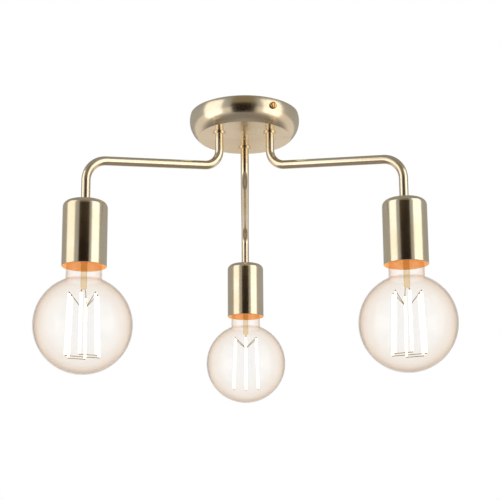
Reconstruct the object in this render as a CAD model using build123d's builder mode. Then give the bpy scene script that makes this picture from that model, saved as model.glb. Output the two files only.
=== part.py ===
from build123d import *
from math import pi, radians, sqrt, tan
import os

# A ceiling light that hangs close under the ceiling: a round pressed canopy over a ceiling strap, three bent
# tubes at 120 degrees, and at the end of each a metal cup with a lampholder and a globe filament lamp.
# Millimetres. The ceiling is the plane z = 0, everything hangs below it, and the strap runs along X.
os.makedirs("parts", exist_ok=True)

# Ceiling strap: folded sheet steel, screwed to the ceiling through two slots.
strap_wall = 1.5
strap_width = 22.0
strap_bend_r = 1.5
strap_tab_drop = 13.1
slot_spacing = 60.0
slot_length = 16.0
slot_width = 5.0
cable_hole_d = 13.0
earth_screw_x = 14.0
earth_clamp_w = 9.0
earth_clamp_edge_r = 1.0
earth_head_edge_r = 1.0
thread_boss_d = 7.0
thread_boss_length = 2.0

# Canopy: pressed sheet, its side one arc that ends in a creased flat face.
rim_gap = 0.3
canopy_max_r = 59.0
canopy_bulge_drop = 7.0
canopy_depth = 25.5
canopy_side_span = 9.0
canopy_wall = 1.0
crease_r = 0.8
stud_d = 4.0
block_stud_h = 15.5
earth_stud_h = 7.0
earth_stud_x = -16.0
earth_stud_inset = 11.5

# Side screws: M4, head outside the canopy and thread in the strap's tab.
side_screw_drop = 9.0
side_screw_d = 4.0
side_screw_head_d = 7.4
side_screw_head_h = 2.6
side_screw_slot = 1.0
side_screw_reach = 9.0
screw_hole_clearance = 0.2
thread_clearance = 0.05

# Arms: brass tube with ends turned down and threaded, clamped through the canopy and through the cup.
arm_count = 3
first_arm_azimuth = -90.0
tube_d = 9.0
tube_wall = 1.0
tube_thread_d = 8.0
arm_exit_r = 31.0
arm_reach = 180.0
arm_run_drop = 35.9
arm_slope = 7.2
inner_bend_r = 19.5
outer_bend_r = 23.5
collar_d = 13.6
collar_h = 1.8
collar_edge_r = 0.5
tube_hole_clearance = 0.15
washer_d = 13.0
washer_h = 0.8
lock_nut_flats = 13.0
lock_nut_h = 3.5
tube_end_spare = 1.6

# Cups: spun brass, domed at the shoulder and open below.
cup_top_drop = 123.0
cup_d = 43.6
cup_h = 65.0
cup_wall = 1.2
cup_shoulder_r = 6.2
cup_lip_r = 0.5

# Lampholder inside each cup, for a lamp with a 26 mm screw cap.
cup_nut_h = 3.0
holder_d = 38.0
holder_wall = 2.0
holder_neck_d = 14.0
holder_neck_h = 2.5
holder_thread_h = 6.5
holder_dome_h = 9.0
holder_spigot_h = 2.8
holder_boss_h = 1.0
seat_gap = 0.2
holder_body_d = 31.0
holder_body_h = 5.4
holder_body_sink = 1.4
holder_body_edge = 0.6
shell_wall = 0.4
shell_h = 21.0
shell_flange = 1.8
skirt_h = 34.0
skirt_bore_d = 28.6
contact_leaf = 0.5
contact_width = 6.0
contact_reach = 3.6
contact_root = 10.5
contact_bend = 5.0
contact_bend_r = 1.5
contact_tail = 4.0
contact_tail_lift = 0.8
clamp_y = 8.0
clamp_size = 5.6
clamp_h = 4.0
clamp_screw_d = 3.0
clamp_screw_h = 1.6
clamp_screw_slot = 0.6
clamp_width = 5.0
clamp_sink = 0.6
clamp_bore_rise = 1.7
wire_slip = 0.1
wire_foot_in = 1.5
wire_foot_bend_r = 2.2

# Globe lamp: glass bulb 95 mm across, 142.5 mm from the contact to the bottom.
globe_d = 95.0
lamp_length = 142.5
glass_wall = 0.9
neck_d = 34.8
mouth_d = 25.1
glass_lead_in = 0.6
neck_shoulder_h = 5.5
glass_bend_r = 2.0
cap_d = 26.1
cap_wall = 0.4
cap_h = 26.0
cap_clearance = 0.35
button_d = 9.5
button_h = 1.4
button_gap = 0.3
insulator_h = 3.6
insulator_recess = 0.6
insulator_rim = 0.4
glass_in_cap = 6.0
stem_d = 6.0
stem_flare_d = 22.6
stem_flare_h = 14.0
stem_length = 40.0
stem_wall = 1.0
stem_seal_drop = 1.0
filament_count = 6
filament_d = 2.2
filament_length = 58.5
filament_top_r = 14.5
filament_foot_r = 17.0
filament_top_rise = 29.0
lead_d = 0.7
lead_gap = 0.15
lead_pin_gap = 0.2
lead_pin_rise = 1.8
lead_bridge_drop = 1.2
fork_start = 1.8
fork_spread = 3.6
fork_drop = 16.5

# Wiring: single conductors from a strip terminal block in the canopy, down each tube to its lampholder.
block_inset = 16.0
block_length = 26.0
block_width = 16.0
block_h = 12.4
block_edge_r = 0.6
block_recess_d = 9.0
block_recess_h = 1.0
pole_pitch = 8.0
pole_screw_y = 5.6
pole_screw_d = 3.4
pole_screw_h = 1.2
pole_well_h = 2.2
pole_mouth_w = 3.2
pole_mouth_h = 9.2
pole_mouth_deep = 4.5
pole_mouth_lift = 1.0
wire_d = 1.8
wire_offset = 1.25
wire_bend_r = 8.0
wire_end_gap = 0.4
wire_first_level = 2.9
wire_level_step = 3.15
earth_ring_d = 8.0
earth_ring_h = 0.8
earth_tongue_length = 7.0
earth_dip_x = -5.5
earth_dip_h = 5.4

# Places that follow from the sizes above.
arm_azimuths = [first_arm_azimuth + number * 360 / arm_count for number in range(arm_count)]
side_rise = canopy_depth - canopy_bulge_drop
side_r = (canopy_side_span**2 + side_rise**2) / (2 * canopy_side_span)
side_centre_r = canopy_max_r - side_r
canopy_face_r = canopy_max_r - canopy_side_span
floor_z = canopy_wall - canopy_depth
block_y = canopy_face_r - block_inset - block_width / 2
block_face_y = block_y - block_width / 2
earth_stud_y = canopy_face_r - earth_stud_inset
collar_z = -canopy_depth - collar_h
washer_z = floor_z + washer_h
lock_nut_z = washer_z + lock_nut_h
tube_top_z = lock_nut_z + tube_end_spare
run_exit_z = -canopy_depth - arm_run_drop
run_reach_z = run_exit_z - (arm_reach - arm_exit_r) * tan(radians(arm_slope))
cup_top_z = -cup_top_drop
cup_inner_z = cup_top_z - cup_wall
cup_rim_z = cup_top_z - cup_h
cup_nut_z = cup_inner_z - washer_h - cup_nut_h
holder_top_z = cup_nut_z - seat_gap
tube_foot_z = holder_top_z - holder_thread_h
holder_joint_z = holder_top_z - holder_neck_h - holder_dome_h
body_top_z = holder_joint_z - holder_body_sink
body_foot_z = body_top_z - holder_body_h
shell_top_z = body_foot_z - seat_gap
lamp_tip_z = shell_top_z - contact_reach
globe_foot_z = lamp_tip_z - lamp_length
globe_centre_z = globe_foot_z + globe_d / 2
cap_top_z = lamp_tip_z - button_h - button_gap - insulator_h + insulator_recess
cap_foot_z = lamp_tip_z - cap_h
glass_top_z = cap_foot_z + glass_in_cap
shell_r = cap_d / 2 + cap_clearance
contact_z = lamp_tip_z + button_gap


def side_wall_r(z, inset=0.0):
    """Radius of the canopy's side at height z, or of the surface that far inside it."""
    return side_centre_r + sqrt((side_r - inset) ** 2 - (z + canopy_bulge_drop) ** 2)


def keep(part, name):
    """Labels a finished piece and writes it under its name."""
    part.label = name
    export_step(part, f"parts/{name}.step")


def keep_on_arms(template, name):
    """Writes one copy of a piece drawn on the arm that points along X for each arm."""
    for number, azimuth in enumerate(arm_azimuths, start=1):
        keep(template.part.rotate(Axis.Z, azimuth), f"{name}_{number}")


def keep_group_on_arms(template, name):
    """Writes the copies of a small piece on all the arms as one group."""
    copies = [template.part.rotate(Axis.Z, azimuth) for azimuth in arm_azimuths]
    keep(Compound(children=copies), name)


# Ceiling strap: a channel section bent from sheet, pierced, with a tapped boss drawn into each tab.
strap_half = sqrt(side_wall_r(-strap_tab_drop, canopy_wall) ** 2 - (strap_width / 2) ** 2) - rim_gap
boss_x = strap_half - strap_wall
with BuildPart() as ceiling_strap:
    with BuildSketch(Plane.XZ) as strap_section:
        with Locations((0, -strap_tab_drop / 2)):
            Rectangle(2 * strap_half, strap_tab_drop)
        with Locations((0, -(strap_tab_drop + strap_wall) / 2)):
            Rectangle(2 * boss_x, strap_tab_drop - strap_wall, mode=Mode.SUBTRACT)
        strap_corners = strap_section.vertices().group_by(Axis.Y)
        fillet(strap_corners[-1], strap_bend_r + strap_wall)
        fillet(strap_section.vertices().filter_by(lambda v: abs(v.Y + strap_wall) < 0.01), strap_bend_r)
    extrude(amount=strap_width / 2, both=True)
    with BuildSketch(Plane.XY) as strap_holes:
        with GridLocations(slot_spacing, 0, 2, 1):
            SlotOverall(slot_length, slot_width)
        Circle(cable_hole_d / 2)
        with Locations((earth_screw_x, 0)):
            Circle(stud_d / 2 + thread_clearance)
    extrude(amount=-strap_wall, mode=Mode.SUBTRACT)
    for side in (-1, 1):
        with BuildSketch(Plane.YZ.offset(side * boss_x)) as strap_boss:
            with Locations((0, -side_screw_drop)):
                Circle(thread_boss_d / 2)
        extrude(amount=-side * thread_boss_length)
    with BuildSketch(Plane.YZ.offset(-strap_half)) as strap_tapping:
        with Locations((0, -side_screw_drop)):
            Circle(side_screw_d / 2 + thread_clearance)
    extrude(amount=2 * strap_half, mode=Mode.SUBTRACT)
keep(ceiling_strap.part, "ceiling_strap")

# Earth screw of the strap, driven up from below with a square clamp washer under its head.
with BuildPart() as strap_earth_screw:
    with BuildSketch(Plane.XY.offset(-strap_wall - washer_h)) as earth_clamp:
        with Locations((earth_screw_x, 0)):
            RectangleRounded(earth_clamp_w, earth_clamp_w, earth_clamp_edge_r)
    extrude(amount=washer_h)
    with BuildSketch(Plane.XY.offset(-strap_wall - washer_h)) as earth_head:
        with Locations((earth_screw_x, 0)):
            Circle(side_screw_head_d / 2)
    extrude(amount=-side_screw_head_h)
    fillet(strap_earth_screw.edges().sort_by(Axis.Z)[0], earth_head_edge_r)
    with BuildSketch(Plane.XY.offset(-strap_wall)) as earth_shank:
        with Locations((earth_screw_x, 0)):
            Circle(stud_d / 2)
    extrude(amount=strap_wall)
    with BuildSketch(Plane.XY.offset(-strap_wall - washer_h - side_screw_head_h)) as earth_slot:
        with Locations((earth_screw_x, 0)):
            Rectangle(side_screw_head_d, side_screw_slot)
    extrude(amount=side_screw_head_h / 2, mode=Mode.SUBTRACT)
keep(strap_earth_screw.part, "strap_earth_screw")

# Canopy: the section is spun round, pierced for the arms and side screws, and has two studs welded inside.
rim_r = side_wall_r(-rim_gap)
rim_inner_r = side_wall_r(-rim_gap, canopy_wall)
floor_r = side_wall_r(floor_z, canopy_wall)
mid_z = -(rim_gap + canopy_depth) / 2
stud_places = [(pole_pitch / 2, block_y), (earth_stud_x, earth_stud_y)]
with BuildPart() as canopy:
    with BuildSketch(Plane.XZ) as canopy_section:
        with BuildLine() as canopy_outline:
            Line((0, -canopy_depth), (canopy_face_r, -canopy_depth))
            ThreePointArc((canopy_face_r, -canopy_depth), (side_wall_r(mid_z), mid_z), (rim_r, -rim_gap))
            Line((rim_r, -rim_gap), (rim_inner_r, -rim_gap))
            ThreePointArc(
                (rim_inner_r, -rim_gap), (side_wall_r(mid_z, canopy_wall), mid_z), (floor_r, floor_z)
            )
            Line((floor_r, floor_z), (0, floor_z))
            Line((0, floor_z), (0, -canopy_depth))
        make_face()
    revolve(axis=Axis.Z)
    fillet(canopy.edges().filter_by(GeomType.CIRCLE).group_by(Axis.Z)[0], crease_r)
    with BuildSketch(Plane.XY.offset(-canopy_depth)) as arm_holes:
        with PolarLocations(arm_exit_r, arm_count, start_angle=first_arm_azimuth):
            Circle(tube_thread_d / 2 + tube_hole_clearance)
    extrude(amount=canopy_wall, mode=Mode.SUBTRACT)
    with BuildSketch(Plane.YZ.offset(-canopy_max_r)) as side_holes:
        with Locations((0, -side_screw_drop)):
            Circle(side_screw_d / 2 + screw_hole_clearance)
    extrude(amount=2 * canopy_max_r, mode=Mode.SUBTRACT)
    for place, height in zip(stud_places, (block_stud_h, earth_stud_h)):
        with BuildSketch(Plane.XY.offset(floor_z)) as welded_stud:
            with Locations(place):
                Circle(stud_d / 2)
        extrude(amount=height)
keep(canopy.part, "canopy")

# Hexagon nuts on the welded studs, over the terminal block and over the earth ring.
nut_flats = 7.0
nut_h = 3.2
nut_levels = [floor_z + block_h - block_recess_h, floor_z + earth_ring_h]
with BuildPart() as stud_nuts:
    for place, level in zip(stud_places, nut_levels):
        with BuildSketch(Plane.XY.offset(level)) as stud_nut:
            with Locations(place):
                RegularPolygon(nut_flats / 2, 6, major_radius=False)
                Circle(stud_d / 2 + thread_clearance, mode=Mode.SUBTRACT)
        extrude(amount=nut_h)
keep(stud_nuts.part, "stud_nuts")

# Side screws: a domed slotted head that turns, and a shank that slides with it.
head_seat_x = canopy_max_r + rim_gap
shank_tip_x = head_seat_x - side_screw_reach
with BuildPart() as canopy_screw:
    with BuildSketch(Plane.YZ.offset(head_seat_x)) as screw_head:
        with Locations((0, -side_screw_drop)):
            Circle(side_screw_head_d / 2)
    extrude(amount=side_screw_head_h)
    fillet(canopy_screw.edges().sort_by(Axis.X)[-1], side_screw_head_h * 0.7)
    with BuildSketch(Plane.YZ.offset(head_seat_x + side_screw_head_h)) as screw_slot:
        with Locations((0, -side_screw_drop)):
            Rectangle(side_screw_slot, side_screw_head_d)
    extrude(amount=-side_screw_head_h / 2, mode=Mode.SUBTRACT)
with BuildPart() as canopy_screw_shank:
    with BuildSketch(Plane.YZ.offset(shank_tip_x)) as screw_shank:
        with Locations((0, -side_screw_drop)):
            Circle(side_screw_d / 2)
    extrude(amount=side_screw_reach)
    chamfer(canopy_screw_shank.edges().sort_by(Axis.X)[0], side_screw_slot / 2)
for number, turn in enumerate((0, 180), start=1):
    keep(canopy_screw.part.rotate(Axis.Z, turn), f"canopy_screw_{number}")
    keep(canopy_screw_shank.part.rotate(Axis.Z, turn), f"canopy_screw_shank_{number}")

# Arm fixings: a collar under the canopy, and inside it a lock washer and a hexagon nut.
with BuildPart() as arm_collars:
    with BuildSketch(Plane.XY.offset(collar_z)) as collar_ring:
        with PolarLocations(arm_exit_r, arm_count, start_angle=first_arm_azimuth):
            Circle(collar_d / 2)
            Circle(tube_thread_d / 2 + tube_hole_clearance, mode=Mode.SUBTRACT)
    extrude(amount=collar_h)
    collar_feet = arm_collars.edges().group_by(Axis.Z)[0]
    fillet(collar_feet.filter_by(lambda e: e.length > pi * (collar_d - 1)), collar_edge_r)
keep(arm_collars.part, "arm_collars")
with BuildPart() as lock_washers:
    with BuildSketch(Plane.XY.offset(floor_z)) as washer_ring:
        with PolarLocations(arm_exit_r, arm_count, start_angle=first_arm_azimuth):
            Circle(washer_d / 2)
            Circle(tube_thread_d / 2 + tube_hole_clearance, mode=Mode.SUBTRACT)
    extrude(amount=washer_h)
keep(lock_washers.part, "lock_washers")
with BuildPart() as lock_nuts:
    with BuildSketch(Plane.XY.offset(washer_z)) as lock_nut:
        with PolarLocations(arm_exit_r, arm_count, start_angle=first_arm_azimuth):
            RegularPolygon(lock_nut_flats / 2, 6, major_radius=False)
            Circle(tube_thread_d / 2 + thread_clearance, mode=Mode.SUBTRACT)
    extrude(amount=lock_nut_h)
keep(lock_nuts.part, "lock_nuts")

# Bent tube: two bends, a run that falls gently outwards, and a turned shoulder at each end.
arm_points = [
    (arm_exit_r, tube_top_z),
    (arm_exit_r, run_exit_z),
    (arm_reach, run_reach_z),
    (arm_reach, tube_foot_z),
]
with BuildPart() as arm:
    with BuildLine(Plane.XZ) as arm_line:
        FilletPolyline(*arm_points, radius=[inner_bend_r, outer_bend_r])
    with BuildSketch(Plane.XY.offset(tube_top_z)) as tube_section:
        with Locations((arm_exit_r, 0)):
            Circle(tube_d / 2)
            Circle(tube_d / 2 - tube_wall, mode=Mode.SUBTRACT)
    sweep(path=arm_line.wires()[0])
    with BuildSketch(Plane.XY.offset(collar_z)) as top_turning:
        with Locations((arm_exit_r, 0)):
            Circle(tube_d)
            Circle(tube_thread_d / 2, mode=Mode.SUBTRACT)
    extrude(amount=tube_top_z - collar_z, mode=Mode.SUBTRACT)
    with BuildSketch(Plane.XY.offset(cup_top_z)) as foot_turning:
        with Locations((arm_reach, 0)):
            Circle(tube_d)
            Circle(tube_thread_d / 2, mode=Mode.SUBTRACT)
    extrude(amount=tube_foot_z - cup_top_z, mode=Mode.SUBTRACT)
keep_on_arms(arm, "arm")

# Cup: a deep spun shell with a rounded shoulder, open below, threaded on the tube's end.
with BuildPart() as cup:
    with BuildSketch(Plane.XZ) as cup_section:
        with Locations((cup_d / 4, cup_top_z - cup_h / 2)):
            Rectangle(cup_d / 2, cup_h)
        with Locations(((cup_d / 2 - cup_wall) / 2, cup_inner_z - (cup_h - cup_wall) / 2)):
            Rectangle(cup_d / 2 - cup_wall, cup_h - cup_wall, mode=Mode.SUBTRACT)
        cup_corners = cup_section.vertices()
        fillet(cup_corners.filter_by(lambda v: v.X > 1 and v.Y > cup_inner_z + 0.1), cup_shoulder_r)
        cup_shoulder = cup_section.vertices().filter_by(lambda v: abs(v.Y - cup_inner_z) < 0.01 and v.X > 1)
        fillet(cup_shoulder, cup_shoulder_r - cup_wall)
        fillet(cup_section.vertices().group_by(Axis.Y)[0], cup_lip_r)
    revolve(axis=Axis.Z)
    with BuildSketch(Plane.XY.offset(cup_top_z)) as cup_hole:
        Circle(tube_thread_d / 2 + tube_hole_clearance)
    extrude(amount=-cup_wall, mode=Mode.SUBTRACT)
cup.part.position = (arm_reach, 0, 0)
keep_on_arms(cup, "cup")

# Washer and nut that clamp the cup against the tube's shoulder.
with BuildPart() as cup_washer:
    with BuildSketch(Plane.XY.offset(cup_inner_z)) as cup_washer_ring:
        with Locations((arm_reach, 0)):
            Circle(washer_d / 2)
            Circle(tube_thread_d / 2 + tube_hole_clearance, mode=Mode.SUBTRACT)
    extrude(amount=-washer_h)
keep_group_on_arms(cup_washer, "cup_washers")
with BuildPart() as cup_nut:
    with BuildSketch(Plane.XY.offset(cup_inner_z - washer_h)) as cup_nut_hexagon:
        with Locations((arm_reach, 0)):
            RegularPolygon(lock_nut_flats / 2, 6, major_radius=False)
            Circle(tube_thread_d / 2 + thread_clearance, mode=Mode.SUBTRACT)
    extrude(amount=-cup_nut_h)
keep_group_on_arms(cup_nut, "cup_nuts")

# Lampholder cap: a dome with a threaded neck that screws on the tube's end below the cup's nut.
dome_outer_r = holder_d / 2
dome_inner_r = dome_outer_r - holder_wall
neck_r = holder_neck_d / 2
dome_start_z = holder_top_z - holder_neck_h
boss_foot_z = dome_start_z - holder_wall - holder_boss_h
with BuildPart() as holder_cap:
    with BuildSketch(Plane.XZ) as dome_section:
        with BuildLine() as dome_outline:
            Line((0, holder_top_z), (neck_r, holder_top_z))
            Line((neck_r, holder_top_z), (neck_r, dome_start_z))
            EllipticalCenterArc(
                (neck_r, holder_joint_z), dome_outer_r - neck_r, holder_dome_h, start_angle=0, arc_size=90
            )
            Line((dome_outer_r, holder_joint_z), (dome_inner_r, holder_joint_z))
            Line((dome_inner_r, holder_joint_z), (dome_inner_r, holder_joint_z + holder_spigot_h))
            EllipticalCenterArc(
                (neck_r, holder_joint_z + holder_spigot_h),
                dome_inner_r - neck_r,
                holder_dome_h - holder_wall - holder_spigot_h,
                start_angle=0,
                arc_size=90,
            )
            Line((neck_r, dome_start_z - holder_wall), (neck_r, boss_foot_z))
            Line((neck_r, boss_foot_z), (0, boss_foot_z))
            Line((0, boss_foot_z), (0, holder_top_z))
        make_face()
    revolve(axis=Axis.Z)
    with BuildSketch(Plane.XY.offset(holder_top_z)) as neck_thread:
        Circle(tube_thread_d / 2 + thread_clearance)
    extrude(amount=-holder_thread_h, mode=Mode.SUBTRACT)
holder_cap.part.position = (arm_reach, 0, 0)
keep_on_arms(holder_cap, "holder_cap")

# Lampholder body: an insulating disc with a shallow pocket for each terminal.
with BuildPart() as holder_body:
    with BuildSketch(Plane.XY.offset(body_foot_z)) as body_disc:
        Circle(holder_body_d / 2)
    extrude(amount=holder_body_h)
    with BuildSketch(Plane.XY.offset(body_top_z)) as clamp_pockets:
        with GridLocations(0, 2 * clamp_y, 1, 2):
            Rectangle(clamp_width + 2 * seat_gap, clamp_size + 2 * seat_gap)
    extrude(amount=-clamp_sink, mode=Mode.SUBTRACT)
    chamfer(holder_body.edges().group_by(Axis.Z)[-1].filter_by(GeomType.CIRCLE), holder_body_edge)
holder_body.part.position = (arm_reach, 0, 0)
keep_on_arms(holder_body, "holder_body")

# Lampholder terminals: brass blocks sunk in the body, bored for the wire, with a clamp screw on top.
clamp_foot_z = body_top_z - clamp_sink
clamp_top_z = clamp_foot_z + clamp_h
clamp_wire_z = body_top_z + clamp_bore_rise
with BuildPart() as holder_terminal:
    with BuildSketch(Plane.XY.offset(clamp_foot_z)) as clamp_blocks:
        with Locations((arm_reach, 0)):
            with GridLocations(0, 2 * clamp_y, 1, 2):
                Rectangle(clamp_width, clamp_size)
    extrude(amount=clamp_h)
    with BuildSketch(Plane.XZ.offset(-clamp_y - clamp_size)) as clamp_bores:
        with Locations((arm_reach, clamp_wire_z)):
            Circle(wire_d / 2 + wire_slip)
    extrude(amount=2 * (clamp_y + clamp_size), mode=Mode.SUBTRACT)
keep_group_on_arms(holder_terminal, "holder_terminals")
with BuildPart() as holder_terminal_screw:
    with BuildSketch(Plane.XY.offset(clamp_top_z)) as clamp_screws:
        with Locations((arm_reach, 0)):
            with GridLocations(0, 2 * clamp_y, 1, 2):
                Circle(clamp_screw_d / 2)
    extrude(amount=clamp_screw_h)
    with BuildSketch(Plane.XY.offset(clamp_top_z + clamp_screw_h)) as clamp_screw_slots:
        with Locations((arm_reach, 0)):
            with GridLocations(0, 2 * clamp_y, 1, 2):
                Rectangle(clamp_screw_d, clamp_screw_slot)
    extrude(amount=-clamp_screw_h / 2, mode=Mode.SUBTRACT)
keep_group_on_arms(holder_terminal_screw, "holder_terminal_screws")

# Screw shell: thin brass cup wall that takes the lamp, with a flange clamped under the body.
with BuildPart() as screw_shell:
    with BuildSketch(Plane.XY.offset(shell_top_z)) as shell_flange_ring:
        Circle(shell_r + shell_wall + shell_flange)
        Circle(shell_r, mode=Mode.SUBTRACT)
    extrude(amount=-shell_wall)
    with BuildSketch(Plane.XY.offset(shell_top_z)) as shell_ring:
        Circle(shell_r + shell_wall)
        Circle(shell_r, mode=Mode.SUBTRACT)
    extrude(amount=-shell_h)
screw_shell.part.position = (arm_reach, 0, 0)
keep_on_arms(screw_shell, "screw_shell")

# Lampholder skirt: its spigot goes up into the cap, its step carries the shell, the body sits above.
skirt_step_z = shell_top_z - shell_wall
with BuildPart() as holder_skirt:
    with BuildSketch(Plane.XY.offset(holder_joint_z)) as skirt_section:
        Circle(holder_d / 2)
    extrude(amount=-skirt_h)
    fillet(holder_skirt.edges().sort_by(Axis.Z)[0], holder_wall / 2)
    with BuildSketch(Plane.XY.offset(holder_joint_z)) as spigot_section:
        Circle(dome_inner_r - thread_clearance)
    extrude(amount=holder_spigot_h - seat_gap)
    with BuildSketch(Plane.XY.offset(skirt_step_z)) as skirt_pocket:
        Circle(holder_body_d / 2 + seat_gap)
    extrude(amount=holder_joint_z + holder_spigot_h - skirt_step_z, mode=Mode.SUBTRACT)
    with BuildSketch(Plane.XY.offset(skirt_step_z)) as skirt_bore:
        Circle(skirt_bore_d / 2)
    extrude(amount=-skirt_h, mode=Mode.SUBTRACT)
holder_skirt.part.position = (arm_reach, 0, 0)
keep_on_arms(holder_skirt, "holder_skirt")

# Centre contact: a sprung leaf of phosphor bronze under the body that touches the lamp's button.
leaf_z = body_foot_z - contact_leaf / 2
leaf_tip_z = contact_z + contact_leaf / 2
leaf_points = [
    (contact_root, leaf_z),
    (contact_bend, leaf_z),
    (0, leaf_tip_z),
    (-contact_tail, leaf_tip_z + contact_tail_lift),
]
with BuildPart() as holder_contact:
    with BuildSketch(Plane.XZ) as leaf_section:
        with BuildLine() as leaf_line:
            FilletPolyline(*[(arm_reach + x, z) for x, z in leaf_points], radius=contact_bend_r)
        trace(line_width=contact_leaf)
    extrude(amount=contact_width / 2, both=True)
keep_group_on_arms(holder_contact, "holder_contacts")

# Lamp's screw cap: a thin shell, an insulator pressed in its end, and the contact button on that.
with BuildPart() as lamp_cap:
    with BuildSketch(Plane.XY.offset(cap_top_z)) as lamp_cap_ring:
        Circle(cap_d / 2)
        Circle(cap_d / 2 - cap_wall, mode=Mode.SUBTRACT)
    extrude(amount=cap_foot_z - cap_top_z)
lamp_cap.part.position = (arm_reach, 0, 0)
keep_on_arms(lamp_cap, "lamp_cap")
insulator_top_z = lamp_tip_z - button_h - button_gap
insulator_r = cap_d / 2 - cap_wall - thread_clearance
with BuildPart() as lamp_insulator:
    with BuildSketch(Plane.XZ) as insulator_section:
        with BuildLine() as insulator_outline:
            Polyline(
                (0, insulator_top_z),
                (button_d / 2 + insulator_rim, insulator_top_z),
                (insulator_r, insulator_top_z - insulator_h + insulator_recess),
                (insulator_r, insulator_top_z - insulator_h),
                (0, insulator_top_z - insulator_h),
                close=True,
            )
        make_face()
    revolve(axis=Axis.Z)
lamp_insulator.part.position = (arm_reach, 0, 0)
keep_on_arms(lamp_insulator, "lamp_insulator")
with BuildPart() as lamp_contact:
    with BuildSketch(Plane.XY.offset(lamp_tip_z)) as button_disc:
        Circle(button_d / 2)
    extrude(amount=-button_h)
    fillet(lamp_contact.edges().sort_by(Axis.Z)[-1], button_h / 2)
lamp_contact.part.position = (arm_reach, 0, 0)
keep_on_arms(lamp_contact, "lamp_contact")

# Glass globe: a thin wall from the mouth in the screw cap, over the shoulder and neck, round to the foot.
shoulder_z = cap_foot_z - glass_lead_in
with BuildPart() as lamp_globe:
    with BuildSketch(Plane.XZ) as globe_section:
        for inset, skin_mode in ((0, Mode.ADD), (glass_wall, Mode.SUBTRACT)):
            mouth_r = mouth_d / 2 - inset
            throat_r = neck_d / 2 - inset
            ball_r = globe_d / 2 - inset
            ball_top_z = globe_centre_z + sqrt(ball_r**2 - throat_r**2)
            ball_foot_z = globe_centre_z - ball_r
            with BuildLine() as globe_outline:
                Polyline(
                    (0, glass_top_z),
                    (mouth_r, glass_top_z),
                    (mouth_r, shoulder_z),
                    (throat_r, shoulder_z - neck_shoulder_h),
                    (throat_r, ball_top_z),
                )
                ThreePointArc((throat_r, ball_top_z), (ball_r, globe_centre_z), (0, ball_foot_z))
                Line((0, ball_foot_z), (0, glass_top_z))
            make_face(mode=skin_mode)
        globe_bends = globe_section.vertices().filter_by(
            lambda v: v.X > mouth_d / 2 - 2 and v.Y < glass_top_z - 1
        )
        fillet(globe_bends, glass_bend_r)
    revolve(axis=Axis.Z)
lamp_globe.part.position = (arm_reach, 0, 0)
keep_on_arms(lamp_globe, "lamp_globe")

# Glass stem: a flare sealed to the globe's mouth, drawn down to a solid rod that carries the leads.
stem_tip_z = glass_top_z - stem_length
flare_top_z = glass_top_z - stem_seal_drop
flare_foot_z = glass_top_z - stem_flare_h
flare_r = stem_flare_d / 2
stem_r = stem_d / 2
with BuildPart() as lamp_stem:
    with BuildSketch(Plane.XZ) as stem_section:
        with BuildLine() as stem_outline:
            Polyline(
                (flare_r, flare_top_z),
                (stem_r, flare_foot_z),
                (stem_r, stem_tip_z),
                (0, stem_tip_z),
                (0, flare_foot_z + stem_wall),
                (stem_r - stem_wall, flare_foot_z + stem_wall),
                (flare_r - stem_wall, flare_top_z),
                close=True,
            )
        make_face()
        fillet(stem_section.vertices().group_by(Axis.Y)[0].sort_by(Axis.X)[-1], stem_r * 0.6)
    revolve(axis=Axis.Z)
lamp_stem.part.position = (arm_reach, 0, 0)
keep_on_arms(lamp_stem, "lamp_stem")

# Filaments: upright sticks leaning slightly outwards.
filament_turns = [number * 360 / filament_count for number in range(filament_count)]
filament_top_z = globe_centre_z + filament_top_rise
filament_foot_drop = sqrt(filament_length**2 - (filament_foot_r - filament_top_r) ** 2)
filament_foot_z = filament_top_z - filament_foot_drop
with BuildPart() as lamp_filaments:
    for turn in filament_turns:
        top = Vector(filament_top_r, 0, filament_top_z).rotate(Axis.Z, turn)
        foot = Vector(filament_foot_r, 0, filament_foot_z).rotate(Axis.Z, turn)
        with BuildSketch(Plane(origin=top, z_dir=foot - top)) as filament_section:
            Circle(filament_d / 2)
        extrude(amount=filament_length)
lamp_filaments.part.position = (arm_reach, 0, 0)
keep_on_arms(lamp_filaments, "lamp_filaments")

# Lead wires: two from the stem, each forked to three filament tops, and three bridges at their feet.
fork_z = stem_tip_z - fork_drop
pin_top_z = filament_top_z + lead_pin_rise
bridge_z = filament_foot_z - lead_bridge_drop
lead_runs = []
for side in (-1, 1):
    fork = Vector(side * fork_spread, 0, fork_z)
    lead_runs.append((Vector(side * fork_start, 0, stem_tip_z - lead_gap), fork))
    for turn in (-60, 0, 60):
        turned = turn if side > 0 else turn + 180
        pin_top = Vector(filament_top_r, 0, pin_top_z).rotate(Axis.Z, turned)
        lead_runs.append((fork, pin_top))
        lead_runs.append((Vector(pin_top.X, pin_top.Y, filament_top_z + lead_pin_gap), pin_top))
for first_turn, second_turn in ((60, 120), (240, 300), (0, 180)):
    ends = []
    for turn in (first_turn, second_turn):
        end = Vector(filament_foot_r, 0, bridge_z).rotate(Axis.Z, turn)
        ends.append(end)
        lead_runs.append((Vector(end.X, end.Y, filament_foot_z - lead_pin_gap), end))
    lead_runs.append((ends[0], ends[1]))
with BuildPart() as lamp_leads:
    for start, end in lead_runs:
        with BuildSketch(Plane(origin=start, z_dir=end - start)) as lead_section:
            Circle(lead_d / 2)
        extrude(amount=(end - start).length)
        with Locations(end):
            Sphere(lead_d / 2 + lead_gap)
lamp_leads.part.position = (arm_reach, 0, 0)
keep_on_arms(lamp_leads, "lamp_leads")

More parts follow.
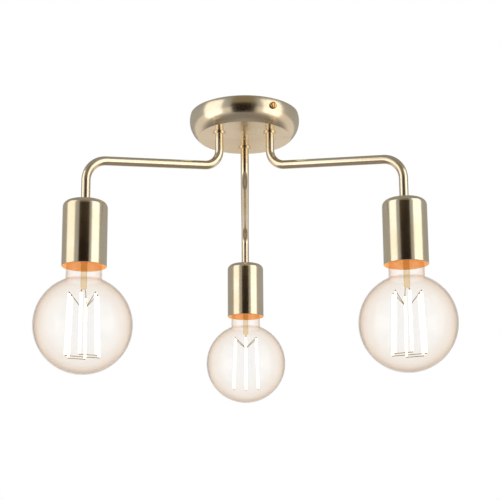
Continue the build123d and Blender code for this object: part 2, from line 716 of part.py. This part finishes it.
# Terminal block: three poles, a screw well at both ends of each, and a stud hole between two poles.
block_top_z = floor_z + block_h
with BuildPart() as terminal_block:
    with BuildSketch(Plane.XY.offset(floor_z)) as block_plan:
        with Locations((0, block_y)):
            Rectangle(block_length, block_width)
    extrude(amount=block_h)
    fillet(terminal_block.edges().filter_by(Axis.Z), block_edge_r * 2)
    fillet(terminal_block.edges().group_by(Axis.Z)[-1], block_edge_r)
    with BuildSketch(Plane.XY.offset(floor_z)) as block_stud_hole:
        with Locations(stud_places[0]):
            Circle(stud_d / 2 + screw_hole_clearance)
    extrude(amount=block_h, mode=Mode.SUBTRACT)
    with BuildSketch(Plane.XY.offset(block_top_z)) as block_recess:
        with Locations(stud_places[0]):
            Circle(block_recess_d / 2)
    extrude(amount=-block_recess_h, mode=Mode.SUBTRACT)
    with BuildSketch(Plane.XY.offset(block_top_z)) as pole_wells:
        with Locations((0, block_y)):
            with GridLocations(pole_pitch, 2 * pole_screw_y, 3, 2):
                Circle(pole_screw_d / 2 + screw_hole_clearance)
    extrude(amount=-pole_well_h, mode=Mode.SUBTRACT)
    for face_y, inward in ((block_face_y, -1), (block_face_y + block_width, 1)):
        with BuildSketch(Plane.XZ.offset(-face_y)) as pole_mouths:
            with Locations((0, floor_z + pole_mouth_h / 2 + pole_mouth_lift)):
                with GridLocations(pole_pitch, 0, 3, 1):
                    RectangleRounded(pole_mouth_w, pole_mouth_h, pole_mouth_w / 2 - 0.1)
        extrude(amount=inward * pole_mouth_deep, mode=Mode.SUBTRACT)
keep(terminal_block.part, "terminal_block")

# Clamp screws of the terminal block, sunk in their wells.
with BuildPart() as terminal_screws:
    with BuildSketch(Plane.XY.offset(block_top_z - pole_well_h)) as pole_screws:
        with Locations((0, block_y)):
            with GridLocations(pole_pitch, 2 * pole_screw_y, 3, 2):
                Circle(pole_screw_d / 2)
    extrude(amount=pole_screw_h)
    with BuildSketch(Plane.XY.offset(block_top_z - pole_well_h + pole_screw_h)) as pole_screw_slots:
        with Locations((0, block_y)):
            with GridLocations(pole_pitch, 2 * pole_screw_y, 3, 2):
                Rectangle(pole_screw_d, clamp_screw_slot)
    extrude(amount=-pole_screw_h / 2, mode=Mode.SUBTRACT)
keep(terminal_screws.part, "terminal_screws")


def on_arm(azimuth, radius, side, z):
    """Point at a radius along an arm and a sideways offset from its middle plane."""
    return Vector(radius, side, z).rotate(Axis.Z, azimuth)


def bend_radii(points):
    """The widest bend that each inner corner has room for, up to the wire's usual bend."""
    radii = []
    last = len(points) - 2
    for number in range(1, last + 1):
        back = points[number - 1] - points[number]
        ahead = points[number + 1] - points[number]
        half_turn = radians(180 - back.get_angle(ahead)) / 2
        room_back = back.length * (0.9 if number == 1 else 0.46)
        room_ahead = ahead.length * (0.9 if number == last else 0.46)
        radii.append(min(wire_bend_r, min(room_back, room_ahead) / tan(half_turn)))
    return radii


def wire_radii(points):
    """Bends of a whole wire: free ones in the canopy, the tube's two, and the one at the terminal."""
    in_canopy = bend_radii(points[:-3])
    return [*in_canopy, inner_bend_r, outer_bend_r, wire_foot_bend_r]


# Line and neutral wires: from the block over the canopy's floor, down a tube and out to a terminal.
wire_start_y = block_face_y + pole_mouth_deep - wire_end_gap
wire_levels = [floor_z + wire_first_level + step * wire_level_step for step in range(arm_count)]
mouth_levels = [tube_top_z + 5.0, tube_top_z + 6.0, tube_top_z + 7.5]
canopy_ways = {
    "line": [
        [(-pole_pitch, -20, 0), (-wire_offset, -37, 1)],
        [(-pole_pitch, -8, 0), (11, -7.8, 0), (19, -5.8, 1)],
        [(-pole_pitch, -4.5, 0), (-17, -4, 1)],
    ],
    "neutral": [
        [(pole_pitch, -20, 0), (wire_offset, -37, 1)],
        [(pole_pitch, -4, 0), (17, -3.6, 1)],
        [(pole_pitch, -10, 0), (-12, -9.2, 0), (-18.5, -6.4, 1)],
    ],
}
for conductor, way_side in (("line", -1), ("neutral", 1)):
    wires = []
    for number, azimuth in enumerate(arm_azimuths):
        low, high = wire_levels[number], mouth_levels[number]
        side = way_side * wire_offset
        points = [Vector(way_side * pole_pitch, wire_start_y, low)]
        for x, y, raised in canopy_ways[conductor][number]:
            points.append(Vector(x, block_face_y + y, high if raised else low))
        points.append(on_arm(azimuth, arm_exit_r, side, high))
        points.append(on_arm(azimuth, arm_exit_r, side, run_exit_z))
        points.append(on_arm(azimuth, arm_reach, side, run_reach_z))
        points.append(on_arm(azimuth, arm_reach, side, clamp_wire_z))
        foot_side = way_side * (clamp_y - clamp_size / 2 + wire_foot_in)
        points.append(on_arm(azimuth, arm_reach, foot_side, clamp_wire_z))
        with BuildPart() as wire:
            with BuildLine() as wire_line:
                FilletPolyline(*points, radius=wire_radii(points))
            with BuildSketch(Plane(origin=points[0], z_dir=points[1] - points[0])) as wire_section:
                Circle(wire_d / 2)
            sweep(path=wire_line.wires()[0])
        wires.append(wire.part)
    keep(Compound(children=wires), f"{conductor}_wires")

# Earth wire: from the block's middle pole to a ring under the nut of the earth stud.
earth_start_y = block_y + block_width / 2 - pole_mouth_deep + wire_end_gap
earth_z = floor_z + earth_ring_h / 2 + wire_d / 2
earth_points = [
    Vector(0, earth_start_y, wire_levels[1]),
    Vector(0, earth_stud_y, wire_levels[1]),
    Vector(earth_dip_x, earth_stud_y, floor_z + earth_dip_h),
    Vector(earth_stud_x + earth_ring_d, earth_stud_y, earth_z),
    Vector(earth_stud_x + earth_ring_d / 2 + wire_end_gap, earth_stud_y, earth_z),
]
with BuildPart() as earth_wire:
    with BuildLine() as earth_line:
        FilletPolyline(*earth_points, radius=bend_radii(earth_points))
    with BuildSketch(Plane(origin=earth_points[0], z_dir=(0, 1, 0))) as earth_section:
        Circle(wire_d / 2)
    sweep(path=earth_line.wires()[0])
    with BuildSketch(Plane.XY.offset(floor_z)) as earth_ring:
        with Locations((earth_stud_x, earth_stud_y)):
            Circle(earth_ring_d / 2)
        with Locations((earth_stud_x + earth_tongue_length / 2, earth_stud_y)):
            Rectangle(earth_tongue_length, wire_d + earth_ring_h)
    extrude(amount=earth_ring_h)
    with BuildSketch(Plane.XY.offset(floor_z)) as earth_ring_hole:
        with Locations((earth_stud_x, earth_stud_y)):
            Circle(stud_d / 2 + screw_hole_clearance)
    extrude(amount=wire_d + earth_ring_h, mode=Mode.SUBTRACT)
keep(earth_wire.part, "earth_wire")
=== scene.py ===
import math

import bmesh
import bpy
from mathutils import Matrix, Vector


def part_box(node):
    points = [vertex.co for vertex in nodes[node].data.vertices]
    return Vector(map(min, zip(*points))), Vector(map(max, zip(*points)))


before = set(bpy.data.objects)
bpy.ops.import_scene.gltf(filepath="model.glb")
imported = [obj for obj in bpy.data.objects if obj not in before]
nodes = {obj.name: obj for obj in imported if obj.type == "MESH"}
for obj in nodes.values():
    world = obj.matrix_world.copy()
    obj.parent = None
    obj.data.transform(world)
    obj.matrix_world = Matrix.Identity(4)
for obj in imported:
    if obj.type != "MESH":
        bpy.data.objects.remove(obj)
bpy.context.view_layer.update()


# The photograph's camera: a little below the lamps and looking up past the third arm, so that the canopy's
# flat face and all three cups show. The picture is 500 pixels wide.
photo_width_px = 500
focal_px = 1048.9
horizon_below_centre_px = 75
camera_data = bpy.data.cameras.new("photo_camera")
camera = bpy.data.objects.new("photo_camera", camera_data)
bpy.context.scene.collection.objects.link(camera)
bpy.context.scene.camera = camera
camera_data.sensor_width = 36
camera_data.lens = focal_px * camera_data.sensor_width / photo_width_px
camera_data.shift_y = horizon_below_centre_px / photo_width_px
camera_data.clip_end = 50
camera_turn = math.radians(59.77)
camera_tilt = math.radians(10.12)
camera_roll = math.radians(0.39)
camera.matrix_world = (
    Matrix.Translation((0.9344, -0.5393, -0.4227))
    @ Matrix.Rotation(camera_turn, 4, "Z")
    @ Matrix.Rotation(camera_tilt, 4, "X")
    @ Matrix.Rotation(camera_roll, 4, "Y")
    @ Matrix.Rotation(math.radians(90), 4, "X")
)


# Shader sums: a socket that Python's own operators can use, and one call for every other node. It is first
# needed by the studio's walls and then by every finish.
class Value:
    def __init__(self, tree, socket=None):
        self.tree = tree
        self.socket = socket

    def node(self, kind, settings=None, inlets=None, outlet=0):
        made = self.tree.nodes.new(kind)
        for name, setting in (settings or {}).items():
            setattr(made, name, setting)
        for name, given in (inlets or {}).items():
            if isinstance(given, Value):
                self.tree.links.new(given.socket, made.inputs[name])
            else:
                made.inputs[name].default_value = given
        return Value(self.tree, made.outputs[outlet] if len(made.outputs) else None)

    def maths(self, operation, *given):
        return self.node("ShaderNodeMath", {"operation": operation}, dict(enumerate(given)))

    def __add__(self, other):
        return self.maths("ADD", self, other)

    def __sub__(self, other):
        return self.maths("SUBTRACT", self, other)

    def __rsub__(self, other):
        return self.maths("SUBTRACT", other, self)

    def __mul__(self, other):
        return self.maths("MULTIPLY", self, other)

    def __pow__(self, other):
        return self.maths("POWER", self, other)

    def __lt__(self, other):
        return self.maths("LESS_THAN", self, other)

    __radd__ = __add__
    __rmul__ = __mul__

    def smooth(self, low, high, start=0.0, end=1.0):
        """A soft step: start where this value is under low, end where it is over high."""
        settings = {"interpolation_type": "SMOOTHSTEP"}
        return self.node("ShaderNodeMapRange", settings, {0: self, 1: low, 2: high, 3: start, 4: end})

    def mix(self, first, second):
        """The first colour where this value is 0, the second where it is 1."""
        inlets = {0: self, 6: first, 7: second}
        return self.node("ShaderNodeMix", {"data_type": "RGBA"}, inlets, outlet=2)


def new_finish(name):
    """An empty material and the start of its sums."""
    material = bpy.data.materials.new(name)
    material.use_nodes = True
    material.node_tree.nodes.clear()
    return material, Value(material.node_tree)


def rgb(red, green, blue):
    """A colour given as the three numbers it shows on a screen, from 0 to 255."""
    linear = [((c / 255 + 0.055) / 1.055) ** 2.4 if c > 10 else c / 255 / 12.92 for c in (red, green, blue)]
    return (*linear, 1.0)


# The studio: pale sweep behind and above, which the camera and the glass see as white. Polished metal sees it as
# the soft grey that it has in the photograph, a little darker overhead.
scene = bpy.context.scene
scene.view_settings.view_transform = "Standard"
world = bpy.data.worlds.new("studio")
scene.world = world
world.use_nodes = True
world.node_tree.nodes.clear()
studio = Value(world.node_tree)
sees_camera = studio.node("ShaderNodeLightPath", outlet=0)
sees_gloss = studio.node("ShaderNodeLightPath", outlet=3)
sees_glass = studio.node("ShaderNodeLightPath", outlet=6)
wall_level = 0.42
gloss_level = 0.40
ceiling_level = 0.30
sky_way = studio.node("ShaderNodeTexCoord", outlet="Generated")
sky_height = studio.node("ShaderNodeSeparateXYZ", inlets={0: sky_way}, outlet=2)
grey = sky_height.smooth(0.25, 0.9, gloss_level, ceiling_level)
wall = wall_level + sees_camera * (1 - wall_level) + sees_glass * (1 - wall_level)
wall = wall + sees_gloss * (grey - wall_level)
backdrop = studio.node("ShaderNodeBackground", inlets={"Color": (1.0, 1.0, 1.0, 1.0), "Strength": wall})
studio.node("ShaderNodeOutputWorld", inlets={"Surface": backdrop})

# Pale floor, well below the light: white to the camera, otherwise soft grey with the object's shadow, and
# brighter far out than close below the light, which is what the canopy's flat face mirrors.
floor_drop = 0.95
bpy.ops.mesh.primitive_plane_add(size=30, location=(0, 0, -floor_drop))
floor = bpy.context.object
floor.name = "studio_floor"
floor_paint, paint = new_finish("floor_paint")
seen_straight = paint.node("ShaderNodeLightPath", outlet=0)
seen_gloss = paint.node("ShaderNodeLightPath", outlet=3)
floor_place = paint.node("ShaderNodeTexCoord", outlet="Object")
floor_reach = paint.node("ShaderNodeVectorMath", {"operation": "LENGTH"}, {0: floor_place}, outlet="Value")
floor_near = floor_reach.smooth(0.3, 0.6, 0.34, 0.25)
floor_level = floor_near + floor_reach.smooth(1.0, 2.2, 0.0, 0.5)
floor_bsdf = paint.node("ShaderNodeBsdfDiffuse", inlets={"Color": (0.62, 0.60, 0.57, 1.0)})
floor_white = paint.node("ShaderNodeEmission", inlets={"Color": (1, 1, 1, 1), "Strength": 0.55})
floor_pale = paint.node("ShaderNodeAddShader", inlets={0: floor_bsdf, 1: floor_white})
floor_mirrored = paint.node("ShaderNodeEmission", inlets={"Color": (1, 0.93, 0.87, 1), "Strength": floor_level})
floor_straight = paint.node("ShaderNodeMixShader", inlets={0: seen_straight, 1: floor_bsdf, 2: floor_pale})
floor_all = paint.node("ShaderNodeMixShader", inlets={0: seen_gloss, 1: floor_straight, 2: floor_mirrored})
paint.node("ShaderNodeOutputMaterial", inlets={"Surface": floor_all})
floor.data.materials.append(floor_paint)

# Two tall soft boxes left and right of the camera, and the dark ground around the camera itself: together
# they draw the cream lobes and the dark band between them on every tube and cup.
aim = Vector((0, 0, -0.14))
towards_camera = Vector((math.sin(camera_turn), -math.cos(camera_turn), 0))
to_right = Vector((math.cos(camera_turn), math.sin(camera_turn), 0))
box_distance = 1.5
box_height = 1.9
box_lift = Vector((0, 0, 0.25))
for name, side, turn, width, level in (
    ("soft_box_left", -1, 67, 1.15, 0.93),
    ("soft_box_right", 1, 60, 1.2, 1.06),
):
    light_data = bpy.data.lights.new(name, "AREA")
    light_data.shape = "RECTANGLE"
    light_data.size = width
    light_data.size_y = box_height
    light_data.energy = level * math.pi * width * box_height
    light_data.color = (1.0, 0.985, 0.96)
    light = bpy.data.objects.new(name, light_data)
    scene.collection.objects.link(light)
    outward = towards_camera * math.cos(math.radians(turn)) + to_right * side * math.sin(math.radians(turn))
    light.location = aim + outward * box_distance + box_lift
    light.rotation_euler = (aim - light.location).to_track_quat("-Z", "Y").to_euler()
    light.visible_camera = False
dark_mesh = bpy.data.meshes.new("camera_flag")
dark_build = bmesh.new()
flag_half_width = 0.52
flag_distance = 1.12
flag_shift = -0.03
flag_foot, flag_top = -0.72, 1.3
flag_corners = []
for across, height in ((-1, flag_foot), (1, flag_foot), (1, flag_top), (-1, flag_top)):
    corner = towards_camera * flag_distance + to_right * (across * flag_half_width + flag_shift)
    flag_corners.append(dark_build.verts.new((corner.x, corner.y, height)))
dark_build.faces.new(flag_corners)
dark_build.to_mesh(dark_mesh)
dark_build.free()
flag = bpy.data.objects.new("camera_flag", dark_mesh)
scene.collection.objects.link(flag)
flag.visible_camera = False
flag.visible_diffuse = False
flag.visible_transmission = False
flag.visible_shadow = False
flag_paint, paint = new_finish("flag_paint")
flag_place = paint.node("ShaderNodeTexCoord", outlet="Object")
flag_height = paint.node("ShaderNodeSeparateXYZ", inlets={0: flag_place}, outlet=2)
flag_tone = flag_height.smooth(0.1, 0.48).mix((0.012, 0.005, 0.002, 1), (0.24, 0.20, 0.13, 1))
flag_black = paint.node("ShaderNodeEmission", inlets={"Color": flag_tone, "Strength": 1.0})
paint.node("ShaderNodeOutputMaterial", inlets={"Surface": flag_black})
dark_mesh.materials.append(flag_paint)


# Canopy: pressed brass sheet, satin brushed and lacquered, with its edge rolled crisp where side meets face.
# The sheet's brushing runs across the flat face and round the side.
brass_light = rgb(241, 229, 204)
brass_deep = rgb(228, 208, 172)


def satin_brass(
    name, stretch, roughness=0.14, light=brass_light, deep=brass_deep, brushing=0.35, relief=0.12, bare=None
):
    """Satin lacquered brass, brushed finer along X, Y or Z as stretch says. bare is the axis, radius, top, colour
    and painted glow of an inside that is left matt as it was spun: the lamp's light on it, painted in as emission."""
    material, brass = new_finish(name)
    place = brass.node("ShaderNodeTexCoord", outlet="Object")
    stretched = brass.node("ShaderNodeVectorMath", {"operation": "MULTIPLY"}, {0: place, 1: stretch})
    brush_inlets = {"Vector": stretched, "Scale": 1.0, "Detail": 3.0, "Roughness": 0.6}
    brush = brass.node("ShaderNodeTexNoise", inlets=brush_inlets)
    cloud = brass.node("ShaderNodeTexNoise", inlets={"Vector": place, "Scale": 22.0, "Detail": 4.0})
    streak = brush.smooth(0.3, 0.7)
    tone = streak * brushing + cloud.smooth(0.35, 0.65) * (0.6 - brushing / 2)
    colour = tone.mix(light, deep)
    rough = streak * 0.06 + cloud.smooth(0.4, 0.6) * 0.03 + roughness - 0.04
    metallic = 1.0
    painted_glow = (0.0, 0.0, 0.0, 1.0)
    if bare:
        axis, radius, top, matt_colour, painted_inside_glow = bare
        away = brass.node("ShaderNodeVectorMath", {"operation": "SUBTRACT"}, {0: place, 1: axis})
        level = brass.node("ShaderNodeVectorMath", {"operation": "MULTIPLY"}, {0: away, 1: (1, 1, 0)})
        reach = brass.node("ShaderNodeVectorMath", {"operation": "LENGTH"}, {0: level}, outlet="Value")
        height = brass.node("ShaderNodeSeparateXYZ", inlets={0: place}, outlet=2)
        inside = (radius > reach) * (top > height)
        colour = inside.mix(colour, matt_colour)
        rough = rough + inside * 0.4
        metallic = 1 - inside
        # Painted light: the inside of the cup glows as though lit by the lamp, painted in as emission.
        painted_glow = inside.mix((0, 0, 0, 1), painted_inside_glow)
    bump = brass.node("ShaderNodeBump", inlets={"Strength": relief, "Distance": 0.00004, "Height": brush})
    settings = {
        "Base Color": colour,
        "Metallic": metallic,
        "Roughness": rough,
        "Normal": bump,
        "Coat Weight": 0.25,
        "Coat Roughness": 0.08,
        "Specular Tint": (1.0, 0.97, 0.92, 1.0),
        "Emission Color": painted_glow,
        "Emission Strength": 0.5,
    }
    surface = brass.node("ShaderNodeBsdfPrincipled", inlets=settings)
    brass.node("ShaderNodeOutputMaterial", inlets={"Surface": surface})
    return material


def finish(names, material):
    """Gives CAD pieces their finish."""
    for name in names:
        nodes[name].data.materials.clear()
        nodes[name].data.materials.append(material)


canopy_brass = satin_brass("canopy_brass", (2600.0, 60.0, 900.0), roughness=0.21, relief=0.04)
finish(["canopy"], canopy_brass)


# Side screws: brass pan heads with a sawn slot, turned and polished brighter than the canopy they hold.
screw_brass = satin_brass(
    "screw_brass", (900.0, 900.0, 900.0), 0.12, rgb(233, 190, 128), rgb(205, 150, 84), brushing=0.2
)
finish(["canopy_screw_1", "canopy_screw_2", "canopy_screw_shank_1", "canopy_screw_shank_2"], screw_brass)
finish(["strap_earth_screw"], screw_brass)


# Arm collars: thin turned brass discs that hide the holes in the canopy.
collar_brass = satin_brass("collar_brass", (700.0, 700.0, 4200.0), roughness=0.15)
finish(["arm_collars"], collar_brass)


# Arms: drawn brass tube, bent cold and lacquered, so its fine draw lines follow the bends.
arm_brass = satin_brass("arm_brass", (420.0, 420.0, 420.0), roughness=0.19, brushing=0.2, relief=0.01)
finish(["arm_1", "arm_2", "arm_3"], arm_brass)


# Cups: spun brass, brushed on the lathe, so the marks go round and the reflections stay upright.
# Inside, where no one polishes, they stay matt; the lamp's warm light on them is painted in as an orange glow.
bare_brass = (0.93, 0.62, 0.34, 1)
# Painted light: the lamp's warm light on the cup's inside, given as an emission colour.
painted_lamp_glow = (1.0, 0.42, 0.12, 1)
cup_inner_r = 0.0211
cup_dome_drop = 0.008
for number in (1, 2, 3):
    low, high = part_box(f"cup_{number}")
    cup_axis = ((low[0] + high[0]) / 2, (low[1] + high[1]) / 2, 0)
    inside_of_cup = (cup_axis, cup_inner_r, high[2] - cup_dome_drop, bare_brass, painted_lamp_glow)
    cup_brass = satin_brass(f"cup_brass_{number}", (90, 90, 5200), 0.17, brushing=0.3, bare=inside_of_cup)
    finish([f"cup_{number}"], cup_brass)


# Ceiling strap, nuts and washers: pressed steel, zinc plated, with the plating's faint grey bloom.
def plated_steel(name, light, deep, roughness):
    """Zinc plated steel with a cloudy bloom and fine rolling marks."""
    material, steel = new_finish(name)
    place = steel.node("ShaderNodeTexCoord", outlet="Object")
    bloom = steel.node("ShaderNodeTexNoise", inlets={"Vector": place, "Scale": 160.0, "Detail": 6.0})
    spangle = steel.node("ShaderNodeTexVoronoi", inlets={"Vector": place, "Scale": 420.0})
    tone = bloom.smooth(0.35, 0.65) * 0.7 + spangle * 0.3
    rough = roughness + bloom.smooth(0.3, 0.7) * 0.12
    relief = steel.node("ShaderNodeBump", inlets={"Strength": 0.2, "Distance": 0.00005, "Height": bloom})
    settings = {"Base Color": tone.mix(light, deep), "Metallic": 1.0, "Roughness": rough, "Normal": relief}
    surface = steel.node("ShaderNodeBsdfPrincipled", inlets=settings)
    steel.node("ShaderNodeOutputMaterial", inlets={"Surface": surface})
    return material


strap_steel = plated_steel("strap_steel", rgb(214, 214, 208), rgb(170, 171, 168), 0.3)
bright_steel = plated_steel("bright_steel", rgb(222, 221, 216), rgb(188, 188, 182), 0.2)
finish(["ceiling_strap"], strap_steel)
finish(["stud_nuts", "lock_washers", "lock_nuts", "cup_washers", "cup_nuts"], bright_steel)
finish(["holder_terminal_screws", "terminal_screws"], bright_steel)


# Lampholders and terminal block: heat resistant mouldings with a fine matt grain.
def moulding(name, light, deep, roughness, grain=600.0):
    """Moulded plastic with a fine spark-eroded grain and slightly uneven colour."""
    material, plastic = new_finish(name)
    place = plastic.node("ShaderNodeTexCoord", outlet="Object")
    fine = plastic.node("ShaderNodeTexNoise", inlets={"Vector": place, "Scale": grain, "Detail": 4.0})
    broad = plastic.node("ShaderNodeTexNoise", inlets={"Vector": place, "Scale": 40.0, "Detail": 2.0})
    rough = roughness + fine.smooth(0.3, 0.7) * 0.1
    relief = plastic.node("ShaderNodeBump", inlets={"Strength": 0.25, "Distance": 0.00006, "Height": fine})
    settings = {"Base Color": broad.smooth(0.3, 0.7).mix(light, deep), "Roughness": rough, "Normal": relief}
    surface = plastic.node("ShaderNodeBsdfPrincipled", inlets=settings)
    plastic.node("ShaderNodeOutputMaterial", inlets={"Surface": surface})
    return material


holder_plastic = moulding("holder_plastic", rgb(240, 234, 220), rgb(228, 219, 200), 0.4)
finish([f"{piece}_{n}" for piece in ("holder_cap", "holder_body", "holder_skirt") for n in (1, 2, 3)], holder_plastic)
block_plastic = moulding("block_plastic", rgb(242, 242, 238), rgb(226, 227, 222), 0.35)
finish(["terminal_block"], block_plastic)


# Brass current-carrying parts: terminals, contact leaf and the shells that take the lamps.
contact_brass = satin_brass("contact_brass", (500.0, 500.0, 500.0), 0.2, rgb(226, 190, 124), rgb(196, 152, 90))
finish(["holder_contacts", "holder_terminals"], contact_brass)
finish([f"screw_shell_{n}" for n in (1, 2, 3)], contact_brass)


# Wires: single conductors in coloured insulation; the earth wire is green with a yellow stripe along it.
line_insulation = moulding("line_insulation", rgb(112, 66, 40), rgb(92, 52, 30), 0.35, grain=900.0)
neutral_insulation = moulding("neutral_insulation", rgb(44, 92, 168), rgb(34, 74, 140), 0.35, grain=900.0)
finish(["line_wires"], line_insulation)
finish(["neutral_wires"], neutral_insulation)
earth_insulation, earth = new_finish("earth_insulation")
earth_normal = earth.node("ShaderNodeTexCoord", outlet="Normal")
earth_up = earth.node("ShaderNodeSeparateXYZ", inlets={0: earth_normal}, outlet=2)
stripe = earth_up.smooth(0.35, 0.45)
stripe_colour = stripe.mix(rgb(66, 128, 52), rgb(226, 200, 60))
earth_bsdf = earth.node("ShaderNodeBsdfPrincipled", inlets={"Base Color": stripe_colour, "Roughness": 0.4})
earth.node("ShaderNodeOutputMaterial", inlets={"Surface": earth_bsdf})
finish(["earth_wire"], earth_insulation)


# Lamp caps: thin rolled brass with the screw thread pressed in, cemented to the glass. The insulator at the
# end is black glass with a tinned button in it.
lamp_cap_brass = satin_brass("lamp_cap_brass", (400.0, 400.0, 2000.0), 0.2, rgb(232, 205, 150), rgb(206, 168, 108))
black_glass = moulding("black_glass", rgb(28, 26, 30), rgb(18, 17, 20), 0.12)
finish([f"lamp_cap_{n}" for n in (1, 2, 3)], lamp_cap_brass)
finish([f"lamp_insulator_{n}" for n in (1, 2, 3)], black_glass)
finish([f"lamp_contact_{n}" for n in (1, 2, 3)], bright_steel)


# Globes: blown glass with a faint amber coat. The wall is thin, so light goes straight through and only soft
# mirror images of the filaments and of the studio lie on it. Towards its edge the coat is seen deeper.
def thin_glass(name, clear, deep, haze, haze_amount, depth, softness):
    """Thin coated glass: deeper where it is seen at a slant, with soft mirror images and a faint warm haze."""
    material, glass = new_finish(name)
    place = glass.node("ShaderNodeTexCoord", outlet="Object")
    cloud = glass.node("ShaderNodeTexNoise", inlets={"Vector": place, "Scale": 18.0, "Detail": 2.0})
    slant = glass.node("ShaderNodeLayerWeight", inlets={"Blend": 0.5}, outlet="Facing")
    coat = slant**1.5 * depth + cloud.smooth(0.3, 0.7) * 0.04
    thin = glass.node("ShaderNodeBsdfTransparent", inlets={"Color": clear})
    thick = glass.node("ShaderNodeBsdfTransparent", inlets={"Color": deep})
    through = glass.node("ShaderNodeMixShader", inlets={0: coat, 1: thin, 2: thick})
    mirror = glass.node("ShaderNodeBsdfGlossy", inlets={"Color": (1, 1, 1, 1), "Roughness": softness})
    edge = slant**6 * 0.8 + 0.015
    bloom = glass.node("ShaderNodeBsdfTranslucent", inlets={"Color": haze})
    hazed = glass.node("ShaderNodeMixShader", inlets={0: haze_amount, 1: through, 2: bloom})
    surface = glass.node("ShaderNodeMixShader", inlets={0: edge, 1: hazed, 2: mirror})
    glass.node("ShaderNodeOutputMaterial", inlets={"Surface": surface})
    return material


clear_coat = (0.998, 0.996, 0.992, 1)
deep_coat = (0.965, 0.90, 0.835, 1)
globe_glass = thin_glass("globe_glass", clear_coat, deep_coat, (1, 0.97, 0.93, 1), 0.012, 1.1, 0.12)
finish([f"lamp_globe_{n}" for n in (1, 2, 3)], globe_glass)
stem_glass = thin_glass("stem_glass", (0.98, 0.93, 0.8, 1), (0.97, 0.74, 0.42, 1), (1, 0.78, 0.45, 1), 0.1, 1.0, 0.08)
finish([f"lamp_stem_{n}" for n in (1, 2, 3)], stem_glass)


# Lead wires and filaments: plated wire, and sticks of glowing phosphor on glass that blow out to white.
lead_metal = plated_steel("lead_metal", rgb(206, 190, 140), rgb(176, 156, 104), 0.25)
finish([f"lamp_leads_{n}" for n in (1, 2, 3)], lead_metal)
filament_phosphor, phosphor = new_finish("filament_phosphor")
phosphor_place = phosphor.node("ShaderNodeTexCoord", outlet="Object")
chips = phosphor.node("ShaderNodeTexNoise", inlets={"Vector": phosphor_place, "Scale": 500.0, "Detail": 1.0})
glow_colour = chips.smooth(0.3, 0.7).mix((1.0, 0.80, 0.50, 1), (1.0, 0.86, 0.62, 1))
phosphor_inlets = {
    "Base Color": (0.9, 0.7, 0.3, 1),
    "Roughness": 0.5,
    "Emission Color": glow_colour,
    "Emission Strength": 4.0,
}
phosphor_bsdf = phosphor.node("ShaderNodeBsdfPrincipled", inlets=phosphor_inlets)
phosphor.node("ShaderNodeOutputMaterial", inlets={"Surface": phosphor_bsdf})
finish([f"lamp_filaments_{n}" for n in (1, 2, 3)], filament_phosphor)
# Mirrored in brushed brass they break up into sparkles, so the metal doesn't see them.
for number in (1, 2, 3):
    nodes[f"lamp_filaments_{number}"].visible_glossy = False
